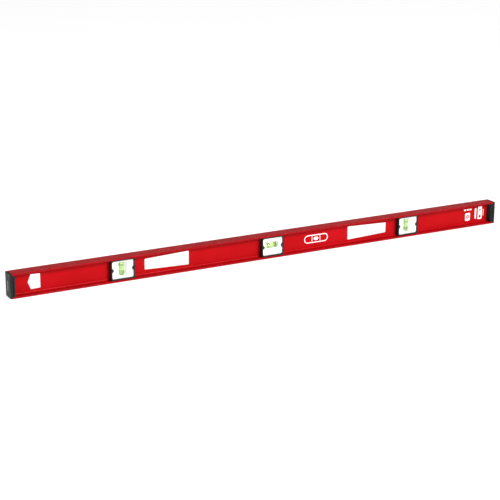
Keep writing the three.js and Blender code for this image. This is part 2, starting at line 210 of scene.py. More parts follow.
def circle(x, z, radius, steps=32):
    """The points of a circle, without its first point again at the end."""
    return arc(x, z, radius, 0, 360, steps)[:-1]


def rounded_polygon(corners, radius, grow=0.0, steps=6):
    """A convex outline, drawn anticlockwise, with round corners. grow moves every side outwards."""
    points = []
    for i, corner in enumerate(corners):
        here = Vector(corner)
        back = (Vector(corners[i - 1]) - here).normalized()
        ahead = (Vector(corners[(i + 1) % len(corners)]) - here).normalized()
        centre = here + (back + ahead).normalized() * radius / math.sin(back.angle(ahead) / 2)
        start = math.degrees(math.atan2(back.x, -back.y))
        turn = 180 - math.degrees(back.angle(ahead))
        points += arc(centre.x, centre.y, radius + grow, start, start + turn, steps)
    return points


def rounded_rectangle(width, height, radius, grow=0.0, steps=6):
    """A rounded polygon on the corners of a rectangle about (0, 0)."""
    x, z = width / 2, height / 2
    return rounded_polygon([(-x, -z), (x, -z), (x, z), (-x, z)], radius, grow, steps)


def notched_rectangle(half_x, half_z, corner, centre_x, radius):
    """A rounded rectangle with a round bite in each upright side at mid-height."""
    open_angle = math.degrees(math.acos((half_x - centre_x) / radius))
    sweep = (-open_angle, open_angle - 360)
    x, z = half_x - corner, half_z - corner
    return (
        arc(x, -z, corner, -90, 0)
        + arc(centre_x, 0, radius, *sweep, steps=20)
        + arc(x, z, corner, 0, 90)
        + arc(-x, z, corner, 90, 180)
        + arc(-centre_x, 0, radius, 180 + sweep[0], 180 + sweep[1], steps=20)
        + arc(-x, -z, corner, 180, 270)
    )


def shifted(outline, x, z=0.0):
    """An outline moved by (x, z)."""
    return [(px + x, pz + z) for px, pz in outline]


def window_outline(grow, lug_grow):
    """The housing's window with a screw lug in each side. Its lugs shrink as it grows."""
    return notched_rectangle(
        WINDOW_WIDTH / 2 + grow, WINDOW_HEIGHT / 2 + grow, WINDOW_CORNER + grow,
        LUG_CENTRE, LUG_RADIUS - lug_grow)


def at_y(outline, y, x=0.0):
    """An outline drawn in (X, Z) about mid-height, placed at depth y."""
    return [Vector((x + px, y, MID_HEIGHT + pz)) for px, pz in outline]


# ------------------------------------------------------------------ meshes

class Shell:
    """A closed mesh made of rings of points, bands between rings and flat faces with holes."""

    def __init__(self):
        self.bm = bmesh.new()

    def ring(self, points):
        """One vertex for each point of a loop."""
        return [self.bm.verts.new(p) for p in points]

    def band(self, first, second, material=0):
        """Quads between two rings with the same number of points."""
        for i in range(len(first)):
            j = (i + 1) % len(first)
            face = self.bm.faces.new((first[i], first[j], second[j], second[i]))
            face.material_index = material

    def tube(self, loops, closed=False):
        """Bands through a list of loops of points. Returns the first ring and the last."""
        rings = [self.ring(points) for points in loops]
        for first, second in zip(rings, rings[1:]):
            self.band(first, second)
        if closed:
            self.band(rings[-1], rings[0])
        return rings[0], rings[-1]

    def cap(self, outer, *holes, material=0):
        """A flat face inside the outer ring, open at the holes."""
        rings = [outer, *holes]
        corners = [v for ring in rings for v in ring]
        for triangle in tessellate_polygon([[v.co for v in ring] for ring in rings]):
            face = self.bm.faces.new([corners[i] for i in triangle])
            face.material_index = material

    def build(self, name, *materials, smooth_angle=35):
        """Makes the object, with its faces pointing outwards."""
        bmesh.ops.remove_doubles(self.bm, verts=self.bm.verts[:], dist=1e-7)
        bmesh.ops.recalc_face_normals(self.bm, faces=self.bm.faces[:])
        mesh = bpy.data.meshes.new(name)
        self.bm.to_mesh(mesh)
        self.bm.free()
        for material in materials:
            mesh.materials.append(material)
        piece = bpy.data.objects.new(name, mesh)
        bpy.context.scene.collection.objects.link(piece)
        shade_evenly(piece, smooth_angle)
        return piece


def shade_evenly(piece, smooth_angle=35):
    """Smooth shading that keeps the edges sharper than smooth_angle."""
    piece.data.shade_smooth()
    piece.data.set_sharp_from_angle(angle=math.radians(smooth_angle))
    even = piece.modifiers.new("even_shading", "WEIGHTED_NORMAL")
    even.keep_sharp = True


def carve(piece, cutter):
    """Takes the cutter's shape out of a piece for good."""
    piece.modifiers.clear()
    cut = piece.modifiers.new("carve", "BOOLEAN")
    cut.operation = "DIFFERENCE"
    cut.solver = "EXACT"
    cut.object = cutter
    depsgraph = bpy.context.evaluated_depsgraph_get()
    piece.data = bpy.data.meshes.new_from_object(piece.evaluated_get(depsgraph))
    piece.modifiers.clear()
    bpy.data.objects.remove(cutter)
    bm = bmesh.new()
    bm.from_mesh(piece.data)
    bmesh.ops.remove_doubles(bm, verts=bm.verts[:], dist=SLIVER)
    bmesh.ops.dissolve_degenerate(bm, edges=bm.edges[:], dist=SLIVER)
    bm.to_mesh(piece.data)
    bm.free()
    shade_evenly(piece)


def bevel_steps(size, steps=4):
    """(inset, depth) pairs of a quarter-round edge, from the flat face to the wall."""
    turns = [math.radians(90 * i / steps) for i in range(steps + 1)]
    return [(size * (1 - math.sin(t)), size * (1 - math.cos(t))) for t in turns]


def turned(profile, sides=48):
    """Rings about the local Z axis from (radius, height) pairs."""
    loops = []
    for radius, height in profile:
        angles = [2 * math.pi * i / sides for i in range(sides)]
        loops.append([Vector((radius * math.cos(a), radius * math.sin(a), height)) for a in angles])
    return loops


def turned_shell(profile, sides=48):
    """A closed round body whose profile starts and ends near the axis."""
    shell = Shell()
    first, last = shell.tube(turned(profile, sides))
    shell.cap(first)
    shell.cap(last)
    return shell


def place(piece, body, slot, *nodes):
    """Attaches a finished piece to the body it rides on and hides the CAD nodes it stands for. slot is
    not used.
    """
    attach(piece, body)
    if nodes:
        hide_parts(*nodes)
    return piece


def turn_round(piece, x):
    """Half a turn about the upright axis through (x, 0), which makes a rear half from a front one."""
    to_axis = Matrix.Translation((-x, 0, 0))
    piece.data.transform(to_axis.inverted() @ Matrix.Rotation(math.pi, 4, "Z") @ to_axis)
    return piece


# ------------------------------------------------------------------ materials

class Finish:
    """A Principled material with helpers for procedural detail in the object's own coordinates."""

    def __init__(self, name, **sockets):
        self.material = bpy.data.materials.new(name)
        self.material.use_nodes = True
        self.tree = self.material.node_tree
        self.shader = self.tree.nodes["Principled BSDF"]
        self.place = self.tree.nodes.new("ShaderNodeTexCoord").outputs["Object"]
        for socket, value in sockets.items():
            self.shader.inputs[socket.replace("_", " ")].default_value = value

    def node(self, kind, **inputs):
        """A node with some of its inputs linked or set. Spaces in their names are written as _."""
        made = self.tree.nodes.new(kind)
        for socket, value in inputs.items():
            self.feed(made.inputs[socket.replace("_", " ")], value)
        return made

    def feed(self, socket, value):
        """Links an output to a socket, or sets the socket's own value."""
        if isinstance(value, bpy.types.NodeSocket):
            self.tree.links.new(value, socket)
        else:
            socket.default_value = value

    def noise(self, scale, detail=3.0, roughness=0.55, stretch=(1, 1, 1)):
        """Noise between about 0.3 and 0.7. stretch scales the pattern along X, Y and Z."""
        mapping = self.node("ShaderNodeMapping", Vector=self.place, Scale=stretch)
        made = self.node(
            "ShaderNodeTexNoise", Vector=mapping.outputs["Vector"],
            Scale=scale, Detail=detail, Roughness=roughness)
        return made.outputs["Fac"]

    def remap(self, value, low, high, to_low, to_high):
        """Takes the range from low to high to the range from to_low to to_high, and stops at its ends."""
        made = self.node("ShaderNodeMapRange", Value=value)
        limits = {"From Min": low, "From Max": high, "To Min": to_low, "To Max": to_high}
        for socket, number in limits.items():
            made.inputs[socket].default_value = number
        return made.outputs["Result"]

    def math(self, operation, first, second=0.5):
        made = self.tree.nodes.new("ShaderNodeMath")
        made.operation = operation
        self.feed(made.inputs[0], first)
        self.feed(made.inputs[1], second)
        return made.outputs[0]

    def blend(self, share, first, second):
        """A colour between two others."""
        made = self.tree.nodes.new("ShaderNodeMix")
        made.data_type = "RGBA"
        colours = [socket for socket in made.inputs if socket.type == "RGBA"]
        self.feed(made.inputs["Factor"], share)
        self.feed(colours[0], first)
        self.feed(colours[1], second)
        return next(socket for socket in made.outputs if socket.type == "RGBA")

    def coordinate(self, axis):
        split = self.node("ShaderNodeSeparateXYZ", Vector=self.place)
        return split.outputs[axis]

    def set(self, socket, value):
        self.feed(self.shader.inputs[socket], value)

    def bump(self, *layers):
        """Bump from (height output, distance in metres) layers, each on top of the one before."""
        normal = None
        for height, distance in layers:
            made = self.node("ShaderNodeBump", Height=height)
            made.inputs["Strength"].default_value = 1.0
            made.inputs["Distance"].default_value = distance
            if normal is not None:
                self.feed(made.inputs["Normal"], normal)
            normal = made.outputs["Normal"]
        self.set("Normal", normal)

    def let_lamps_through(self, tint):
        """Lets light from lamps pass clear material, so that what is inside is lit."""
        path = self.tree.nodes.new("ShaderNodeLightPath")
        clear = self.node("ShaderNodeBsdfTransparent", Color=(*tint, 1))
        mix = self.tree.nodes.new("ShaderNodeMixShader")
        self.feed(mix.inputs[0], path.outputs["Is Shadow Ray"])
        self.feed(mix.inputs[1], self.shader.outputs["BSDF"])
        self.feed(mix.inputs[2], clear.outputs["BSDF"])
        self.feed(self.tree.nodes["Material Output"].inputs["Surface"], mix.outputs["Shader"])


def red_paint():
    """Powder coat on an extrusion: orange peel, faint die lines, worn outer edges, and painted shade on
    the flanges' front and rear edge faces.
    """
    finish = Finish("red_powder_coat", Specular_IOR_Level=0.07)
    patches = finish.noise(9, detail=2)
    cloud = finish.remap(patches, 0.35, 0.65, 0, 1)
    colour = finish.blend(cloud, (0.40, 0.0008, 0.003, 1), (0.455, 0.0015, 0.005, 1))
    y = finish.math("ABSOLUTE", finish.coordinate("Y"))
    from_middle = finish.math("ABSOLUTE", finish.math("SUBTRACT", finish.coordinate("Z"), MID_HEIGHT))
    near_side = finish.remap(y, HALF_WIDTH - EDGE_RADIUS, HALF_WIDTH - 0.2 * EDGE_RADIUS, 0, 1)
    near_face = finish.remap(
        from_middle, HALF_HEIGHT - EDGE_RADIUS, HALF_HEIGHT - 0.2 * EDGE_RADIUS, 0, 1)
    corner = finish.math("MULTIPLY", near_side, near_face)
    spots = finish.remap(finish.noise(220, detail=4), 0.50, 0.62, 0, 1)
    wear = finish.math("MULTIPLY", finish.math("MULTIPLY", corner, spots), 0.35)
    # Painted shade: the flanges' front and rear edge faces are darkened, with a noisy strength, in place
    # of the shade the light leaves on them.
    edge_shade_noise = finish.remap(finish.noise(40, detail=3), 0.3, 0.6, 0.35, 0.85)
    painted_edge_shade = finish.math("MULTIPLY", near_side, edge_shade_noise)
    colour = finish.blend(painted_edge_shade, colour, (0.27, 0.004, 0.008, 1))
    finish.set("Base Color", finish.blend(wear, colour, (0.50, 0.16, 0.15, 1)))
    finish.set("Roughness", finish.remap(finish.noise(60, detail=4), 0.35, 0.65, 0.30, 0.42))
    peel = finish.noise(1100, detail=2)
    die_lines = finish.noise(700, detail=2, stretch=(0.004, 1, 1))
    finish.bump((die_lines, 0.010 * MM), (peel, 0.030 * MM))
    return finish.material


def cut_aluminium():
    """The sawn end of the beam: bright metal with fine saw lines."""
    finish = Finish("cut_aluminium", Metallic=1.0)
    lines = finish.noise(900, detail=3, stretch=(1, 0.05, 1))
    finish.set("Base Color", finish.blend(lines, (0.55, 0.55, 0.56, 1), (0.86, 0.86, 0.87, 1)))
    finish.set("Roughness", finish.remap(lines, 0.3, 0.7, 0.30, 0.48))
    finish.bump((lines, 0.02 * MM))
    return finish.material


def black_rubber():
    """Moulded rubber: fine pebble grain and paler scuffs. The tops of the ribs on the ends carry a
    painted highlight.
    """
    finish = Finish("moulded_rubber", Specular_IOR_Level=0.25)
    scuffs = finish.remap(finish.noise(140, detail=5, stretch=(1, 1, 0.3)), 0.56, 0.72, 0, 0.5)
    colour = finish.blend(scuffs, (0.0095, 0.0105, 0.0112, 1), (0.030, 0.032, 0.033, 1))
    from_middle = finish.math("ABSOLUTE", finish.coordinate("X"))
    # Painted highlight: the raised top of the rib on each end is blended towards pale grey, with a noisy
    # strength, in place of the bright line it catches.
    on_rib = finish.remap(
        from_middle, HALF_LENGTH - 0.6 * RIB_RAISE, HALF_LENGTH - 0.2 * RIB_RAISE, 0, 1)
    rib_highlight_noise = finish.remap(finish.noise(300, detail=4), 0.35, 0.6, 0.5, 0.95)
    pale_share = finish.math("MULTIPLY", on_rib, rib_highlight_noise)
    finish.set("Base Color", finish.blend(pale_share, colour, (0.40, 0.41, 0.415, 1)))
    finish.set("Roughness", finish.remap(finish.noise(90, detail=4), 0.35, 0.65, 0.50, 0.68))
    finish.bump((finish.noise(1500, detail=3), 0.05 * MM), (finish.noise(260, detail=2), 0.08 * MM))
    return finish.material


def black_plastic():
    """Spark-textured moulding of the vial housings."""
    finish = Finish("textured_black_plastic", Specular_IOR_Level=0.25)
    shade = finish.remap(finish.noise(70, detail=4), 0.4, 0.7, 0, 1)
    finish.set("Base Color", finish.blend(shade, (0.008, 0.009, 0.0095, 1), (0.017, 0.018, 0.019, 1)))
    finish.set("Roughness", finish.remap(finish.noise(45, detail=4), 0.35, 0.65, 0.38, 0.52))
    finish.bump((finish.noise(2200, detail=2), 0.03 * MM))
    return finish.material


def white_plastic():
    """Smooth white moulding behind the vials, a little uneven in tone."""
    finish = Finish("white_moulding", Specular_IOR_Level=0.4)
    shade = finish.remap(finish.noise(60, detail=3), 0.35, 0.65, 0, 1)
    finish.set("Base Color", finish.blend(shade, (0.90, 0.91, 0.91, 1), (0.94, 0.94, 0.93, 1)))
    finish.set("Roughness", finish.remap(finish.noise(120, detail=4), 0.35, 0.65, 0.28, 0.42))
    finish.bump((finish.noise(900, detail=2), 0.008 * MM))
    return finish.material


def white_ink():
    """Printed marks: matt ink that lies on the paint's orange peel."""
    finish = Finish("white_ink", Specular_IOR_Level=0.25)
    thin = finish.remap(finish.noise(900, detail=4), 0.60, 0.72, 0, 0.35)
    finish.set("Base Color", finish.blend(thin, (0.90, 0.89, 0.88, 1), (0.80, 0.45, 0.44, 1)))
    finish.set("Roughness", finish.remap(finish.noise(300, detail=3), 0.35, 0.65, 0.42, 0.58))
    finish.bump((finish.noise(1100, detail=2), 0.02 * MM))
    return finish.material


def ring_ink():
    """The dark marking rings round a vial."""
    finish = Finish("ring_ink")
    uneven = finish.noise(1500, detail=3)
    finish.set("Base Color", finish.blend(uneven, (0.006, 0.010, 0.006, 1), (0.030, 0.040, 0.020, 1)))
    finish.set("Roughness", finish.remap(uneven, 0.35, 0.65, 0.35, 0.55))
    finish.bump((uneven, 0.005 * MM))
    return finish.material


def clear_acrylic():
    """Polished acrylic tube with faint turning marks."""
    finish = Finish("clear_acrylic", Base_Color=(0.97, 1.0, 0.97, 1), Transmission_Weight=1.0, IOR=1.49)
    polish = finish.noise(240, detail=2)
    finish.set("Roughness", finish.remap(polish, 0.35, 0.65, 0.02, 0.06))
    finish.bump((polish, 0.004 * MM))
    finish.let_lamps_through((0.93, 0.97, 0.93))
    return finish.material


def green_fluid():
    """Lime green spirit, slightly cloudy so that it glows against the white."""
    finish = Finish("green_fluid", Transmission_Weight=0.75, IOR=1.36, Roughness=0.04)
    depth = finish.remap(finish.noise(150, detail=2), 0.35, 0.65, 0, 1)
    finish.set("Base Color", finish.blend(depth, (0.54, 0.75, 0.30, 1), (0.60, 0.78, 0.35, 1)))
    finish.bump((finish.noise(120, detail=1), 0.01 * MM))
    finish.let_lamps_through((0.85, 0.97, 0.65))
    return finish.material


def bubble_gas():
    """The bubble's pale skin, brighter than the fluid round it, with painted shade darkening its outline.
    """
    finish = Finish("bubble_gas", Transmission_Weight=0.2, IOR=1.12, Roughness=0.03)
    sheen = finish.remap(finish.noise(200, detail=2), 0.35, 0.65, 0, 1)
    colour = finish.blend(sheen, (0.94, 1.0, 0.84, 1), (0.98, 1.0, 0.92, 1))
    # Painted shade: the skin turns dark green where it faces away from the view, in place of the dark
    # ring that light turned back at a bubble's edge gives.
    facing = finish.node("ShaderNodeLayerWeight", Blend=0.5).outputs["Facing"]
    outline = finish.remap(facing, 0.35, 0.65, 0, 1)
    finish.set("Base Color", finish.blend(outline, colour, (0.03, 0.09, 0.01, 1)))
    finish.bump((finish.noise(160, detail=1), 0.008 * MM))
    finish.let_lamps_through((0.9, 1.0, 0.7))
    return finish.material


def black_steel():
    """Black oxide screws, worn bright in scattered spots."""
    finish = Finish("black_oxide_steel", Metallic=0.85)
    pale_share = finish.remap(finish.noise(1400, detail=4), 0.52, 0.70, 0, 0.8)
    finish.set("Base Color", finish.blend(pale_share, (0.045, 0.046, 0.050, 1), (0.26, 0.26, 0.27, 1)))
    finish.set("Roughness", finish.remap(finish.noise(500, detail=3), 0.35, 0.65, 0.28, 0.45))
    finish.bump((finish.noise(2600, detail=2), 0.01 * MM))
    return finish.material


RED = red_paint()
ALUMINIUM = cut_aluminium()
RUBBER = black_rubber()
PLASTIC = black_plastic()
WHITE = white_plastic()
INK = white_ink()
RING_INK = ring_ink()
ACRYLIC = clear_acrylic()
FLUID = green_fluid()
GAS = bubble_gas()
STEEL = black_steel()


# ------------------------------------------------------------------ the beam

def beam_section(inset=0.0):
    """The I section in (Y, Z) about its middle, anticlockwise from below, moved inwards by inset."""
    y, z = HALF_WIDTH - inset, HALF_HEIGHT - inset
    edge, fillet = EDGE_RADIUS - inset, FILLET_RADIUS + inset
    web, channel = HALF_WEB - inset, CHANNEL_HALF + inset
    return (
        arc(y - edge, -z + edge, edge, -90, 0, 4)
        + arc(y - edge, -channel - edge, edge, 0, 90, 4)
        + arc(web + fillet, -channel + fillet, fillet, 270, 180, 8)
        + arc(web + fillet, channel - fillet, fillet, 180, 90, 8)
        + arc(y - edge, channel + edge, edge, -90, 0, 4)
        + arc(y - edge, z - edge, edge, 0, 90, 4)
        + arc(-y + edge, z - edge, edge, 90, 180, 4)
        + arc(-y + edge, channel + edge, edge, 180, 270, 4)
        + arc(-web - fillet, channel - fillet, fillet, 90, 0, 8)
        + arc(-web - fillet, -channel + fillet, fillet, 0, -90, 8)
        + arc(-y + edge, -channel - edge, edge, 90, 180, 4)
        + arc(-y + edge, -z + edge, edge, 180, 270, 4)
    )


# The section's points where the rear face of the web starts, and where the front face does.
EDGE_POINTS = 5
FILLET_POINTS = 9
REAR_WEB = 2 * EDGE_POINTS + FILLET_POINTS - 1
FRONT_WEB = 6 * EDGE_POINTS + 3 * FILLET_POINTS - 1


def hand_hole(side):
    """The corners of a hand hole in (X, Z), anticlockwise. Its tall end is towards the middle."""
    near, far = HALF_LENGTH - HAND_HOLE_OUTER, HALF_LENGTH - HAND_HOLE_INNER
    low, high = HAND_HOLE_OUTER_HEIGHT / 2, HAND_HOLE_INNER_HEIGHT / 2
    corners = [(far, -high), (near, -low), (near, low), (far, high)]
    return corners if side > 0 else [(-x, z) for x, z in reversed(corners)]


def hang_hole():
    """The corners of the five-sided hang hole in (X, Z), anticlockwise from its point."""
    apex, shoulder, far = (-HALF_LENGTH + d for d in (HANG_APEX, HANG_SHOULDER, HANG_FAR))
    shoulder_z, far_z = HANG_SHOULDER_HEIGHT / 2, HANG_FAR_HEIGHT / 2
    return [(apex, 0), (shoulder, -shoulder_z), (far, -far_z), (far, far_z), (shoulder, shoulder_z)]


def hole_through_web(shell, outline):
    """Walls of the hole that outline(grow) draws. Returns its rings on the web's front and rear."""
    bevel = bevel_steps(HOLE_BEVEL, 3)
    front = [at_y(outline(inset), -HALF_WEB + depth) for inset, depth in bevel]
    rear = [at_y(outline(inset), HALF_WEB - depth) for inset, depth in reversed(bevel)]
    return shell.tube(front + rear)


def beam_holes():
    """(lowest X, highest X, outlines) of each stretch of the web that has holes in it."""
    margin = 4 * MM
    stretches = []
    for corners, radius in [
        (hang_hole(), HANG_CORNER), (hand_hole(-1), HAND_HOLE_CORNER), (hand_hole(1), HAND_HOLE_CORNER)
    ]:
        xs = [x for x, _ in corners]
        outline = lambda grow, c=corners, r=radius: rounded_polygon(c, r, grow)
        stretches.append((min(xs) - margin, max(xs) + margin, [outline]))
    for prefix in BLOCKS:
        x = middle_x(f"{prefix}_housing_front")
        screws = [middle_x(f"{prefix}_screw_{side}") for side in ("left", "right")]
        outlines = [lambda grow, x=x: shifted(
            rounded_rectangle(CUTOUT_WIDTH, CUTOUT_HEIGHT, CUTOUT_CORNER, grow), x)]
        for screw in screws:
            outlines.append(lambda grow, s=screw: circle(s, 0, SCREW_HOLE_RADIUS + grow, 20))
        stretches.append((screws[0] - margin, screws[1] + margin, outlines))
    return sorted(stretches, key=lambda s: s[0])


def add_beam():
    """The extrusion: its section at stations along X, with the holes in the web between two of them."""
    shell = Shell()
    inner_end = BEAM_HALF_LENGTH - CUT_BEVEL
    stations = [(-BEAM_HALF_LENGTH, CUT_BEVEL), (-inner_end, 0.0)]
    panels = [[], []]  # outlines of the holes before each station
    for low, high, outlines in beam_holes():
        stations += [(low, 0.0), (high, 0.0)]
        panels += [[], outlines]
    stations += [(inner_end, 0.0), (BEAM_HALF_LENGTH, CUT_BEVEL)]
    panels += [[], []]

    rings = []
    for x, inset in stations:
        points = [Vector((x, y, MID_HEIGHT + z)) for y, z in beam_section(inset)]
        rings.append(shell.ring(points))
    for first, second, outlines in zip(rings, rings[1:], panels[1:]):
        holes = [hole_through_web(shell, outline) for outline in outlines]
        for i in range(len(first)):
            j = (i + 1) % len(first)
            corners = (first[i], first[j], second[j], second[i])
            if i in (REAR_WEB, FRONT_WEB) and holes:
                shell.cap(corners, *[hole[0 if i == FRONT_WEB else 1] for hole in holes])
            else:
                shell.bm.faces.new(corners)
    shell.cap(rings[0], material=1)
    shell.cap(rings[-1], material=1)
    place(shell.build("beam", RED, ALUMINIUM), "level", "red_paint", "i_beam_frame")


# ------------------------------------------------------------------ end caps

def channel_reach(y):
    """Half the height of what fills a channel at depth y, cut off at 45 degrees past the fillet."""
    return CHANNEL_HALF - FIT_GAP - max(ROOT + FILLET_RADIUS - y, 0.0)


def plug_loop(x, face):
    """The plug's section at x, in the front channel, reaching from its face to the web."""
    turn = min(face - APART, ROOT + FILLET_RADIUS)
    half = [(y, channel_reach(y)) for y in (face, turn, ROOT)]
    points = half + [(y, -z) for y, z in reversed(half)]
    return [Vector((x, -y, MID_HEIGHT + z)) for y, z in points]


def plug_faces():
    """(distance from the outer end, depth of the face) pairs along a plug, from groove to foot."""
    recessed = PLUG_FACE - GROOVE_DEPTH
    groove_end = CAP_PLATE + GROOVE_WIDTH
    faces = [
        (CAP_PLATE, recessed),
        (groove_end, recessed),
        (groove_end + PLUG_CHAMFER / 4, PLUG_FACE - PLUG_CHAMFER),
        (groove_end + PLUG_CHAMFER, PLUG_FACE),
    ]
    faces += arc(PLUG_FRONT - PLUG_NOSE, PLUG_FACE - PLUG_NOSE, PLUG_NOSE, 90, 0, 5)
    faces.append((PLUG_FOOT - PLUG_CHAMFER, ROOT + PLUG_FOOT_EDGE))
    return faces


def plate_loops():
    """Loops of (distance from the outer end, y, z): the plate's wall and its rounded outer edge."""
    width, height = 2 * (HALF_WIDTH - CAP_INSET), 2 * (HALF_HEIGHT - CAP_INSET)
    steps = [(0.0, CAP_PLATE)]
    steps += [(-inset, RIB_RAISE + depth) for inset, depth in reversed(bevel_steps(CAP_BEVEL, 5))]
    outline = lambda grow: rounded_rectangle(width, height, CAP_CORNER, grow)
    return [[(x, y, z) for y, z in outline(grow)] for grow, x in steps]


def rib_loops():
    """Loops of the rib on the plate's outer face, from its foot to its rounded top."""
    outline = lambda grow: rounded_rectangle(RIB_WIDTH, RIB_HEIGHT, RIB_WIDTH / 2 - APART, grow)
    steps = [(RIB_FOOT, RIB_RAISE), (0.0, RIB_RAISE - RIB_FOOT / 2)]
    steps += [(-inset, depth) for inset, depth in reversed(bevel_steps(RIB_EDGE, 3))]
    return [[(x, y, z - RIB_DROP) for y, z in outline(grow)] for grow, x in steps]


def add_end_cap(name, side):
    """One rubber moulding: a ribbed plate over the beam's end and a tapered plug in each channel."""
    shell = Shell()
    end = side * HALF_LENGTH
    at_end = lambda loop: [Vector((end - side * x, y, MID_HEIGHT + z)) for x, y, z in loop]
    back, rim = shell.tube([at_end(loop) for loop in plate_loops()])
    rib_foot, rib_top = shell.tube([at_end(loop) for loop in rib_loops()])
    shell.cap(rim, rib_foot)
    shell.cap(rib_top)
    feet = []
    for turn in (1, -1):
        sections = [plug_loop(end - side * x, face) for x, face in plug_faces()]
        sections = [[Vector((p.x, turn * p.y, p.z)) for p in section] for section in sections]
        foot, last = shell.tube(sections)
        shell.cap(last)
        feet.append(foot)
    shell.cap(back, *feet)
    place(shell.build(name + "_rubber", RUBBER), "level", "black_rubber", name)


# ------------------------------------------------------------------ vial blocks

def squeezed(outline, reach):
    """An outline flattened where it is past reach, with a trace of its corners left."""
    points = []
    for x, z in outline:
        past = max(abs(z) - reach, 0.0)
        points.append((x, math.copysign(abs(z) - FLATTENED * past, z)))
    return points


def screw_hole(shell, x, face, has_head):
    """The loops of a screw's hole: through, under a counterbore, or blind from the rear."""
    if has_head:
        seat = face + HEAD_HEIGHT + FIT_GAP
        rim = bevel_steps(HEAD_HOLE_BEVEL, 2)
        sizes = [(HEAD_HOLE_RADIUS + inset, face + depth) for inset, depth in rim]
        sizes += [(HEAD_HOLE_RADIUS, seat), (SCREW_HOLE_RADIUS, seat), (SCREW_HOLE_RADIUS, -ROOT)]
    else:
        floor = -ROOT - THREAD_DEPTH
        sizes = [(THREAD_RADIUS * 0.8, floor), (THREAD_RADIUS, floor + DRILL_POINT)]
        sizes += [(THREAD_RADIUS, -ROOT - THREAD_CHAMFER), (THREAD_RADIUS + THREAD_CHAMFER, -ROOT)]
    first, last = shell.tube([at_y(circle(0, 0, radius, 28), y, x) for radius, y in sizes])
    if has_head:
        return [first], last
    shell.cap(first)
    return [], last


def add_housing(prefix, side):
    """Half of a block's black housing, built facing the front. The front half takes the screw heads."""
    node = f"{prefix}_housing_{side}"
    low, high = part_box(f"{prefix}_housing_front")
    x, face = middle_x(node), low.y
    reflector_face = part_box(f"{prefix}_reflector_front")[0].y
    screw_xs = [middle_x(f"{prefix}_screw_{hand}") for hand in ("left", "right")]
    spacing = screw_xs[1] - screw_xs[0]
    outline = lambda grow: rounded_rectangle(
        high.x - low.x, 2 * (CHANNEL_HALF - FIT_GAP), HOUSING_CORNER, grow)
    fillet_y = -ROOT - FILLET_RADIUS

    shell = Shell()
    outer = [at_y(outline(-inset), face + depth, x) for inset, depth in bevel_steps(HOUSING_BEVEL)]
    outer.append(at_y(outline(0.0), fillet_y, x))
    outer.append(at_y(squeezed(outline(0.0), channel_reach(ROOT)), -ROOT, x))
    outer_front, outer_back = shell.tube(outer)

    inner = [at_y(window_outline(i, i), face + d, x) for i, d in bevel_steps(WINDOW_BEVEL, 3)]
    inner.append(at_y(window_outline(0.0, 0.0), reflector_face, x))
    cavity = window_outline(CAVITY_GROWTH, FIT_GAP)
    inner.append(at_y(cavity, reflector_face, x))
    inner.append(at_y(cavity, fillet_y, x))
    inner.append(at_y(squeezed(cavity, channel_reach(ROOT) - CAVITY_ROOT_INSET), -ROOT, x))
    inner_front, inner_back = shell.tube(inner)

    front_holes, back_holes = [], []
    for screw_x in (x - spacing / 2, x + spacing / 2):
        opened, back_ring = screw_hole(shell, screw_x, face, has_head=side == "front")
        front_holes += opened
        back_holes.append(back_ring)
    shell.cap(outer_front, inner_front, *front_holes)
    shell.cap(outer_back, inner_back, *back_holes)
    piece = shell.build(f"{prefix}_case_{side}", PLASTIC)
    if side == "rear":
        turn_round(piece, x)
    place(piece, "level", "black_plastic", node)


def add_reflector(prefix, side, is_level):
    """Half of the white moulding round a vial: a sloping pocket, and a round bed for the tube."""
    node = f"{prefix}_reflector_{side}"
    x, face = middle_x(node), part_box(f"{prefix}_reflector_front")[0].y
    fillet_y = -ROOT - FILLET_RADIUS

    shell = Shell()
    outline = window_outline(CAVITY_GROWTH - REFLECTOR_GAP, -REFLECTOR_GAP)
    outer_front, outer_back = shell.tube([
        at_y(outline, face, x),
        at_y(outline, fillet_y, x),
        at_y(squeezed(outline, channel_reach(ROOT) - REFLECTOR_ROOT_INSET), -ROOT, x),
    ])
    in_web = rounded_rectangle(CUTOUT_WIDTH - 2 * FIT_GAP, CUTOUT_HEIGHT - 2 * FIT_GAP, CUTOUT_CORNER)
    web_front, web_back = shell.tube([at_y(in_web, -ROOT, x), at_y(in_web, -THIN_GAP, x)])
    shell.cap(outer_back, web_front)
    shell.cap(web_back)

    pocket = []
    for across, along, y, inwards in zip(POCKET_ACROSS, POCKET_ALONG, (face, -POCKET_FLOOR), (1, -1)):
        size = (2 * along, 2 * across) if is_level else (2 * across, 2 * along)
        for inset, depth in bevel_steps(POCKET_BEVEL, 4)[::inwards]:
            edge = rounded_rectangle(*size, POCKET_CORNER, inwards * inset)
            pocket.append(at_y(edge, y + inwards * depth, x))
    pocket_front, pocket_floor = shell.tube(pocket)
    shell.cap(outer_front, pocket_front)
    shell.cap(pocket_floor)
    piece = shell.build(f"{prefix}_backing_{side}", WHITE)
    bed_radius, bed_end = TUBE_RADIUS + FIT_GAP, TUBE_HALF_LENGTH + FIT_GAP
    bed = turned_shell([(bed_radius, -bed_end), (bed_radius, bed_end)], 64)
    carve(piece, lay_vial(bed.build("bed"), x, is_level))
    if side == "rear":
        turn_round(piece, x)
    place(piece, "level", "white_plastic", node)


def cross_outline(reach, half_slot):
    """A screw's cross recess: four arms with softened ends."""
    soft = half_slot * 0.35
    arm = [(half_slot, half_slot), (half_slot, reach - soft), (half_slot - soft, reach)]
    quarter = arm + [(-a, b) for a, b in reversed(arm[1:])]
    points = []
    for turn in range(4):
        c, s = round(math.cos(turn * math.pi / 2)), round(math.sin(turn * math.pi / 2))
        points += [(a * c - b * s, a * s + b * c) for a, b in quarter]
    return points


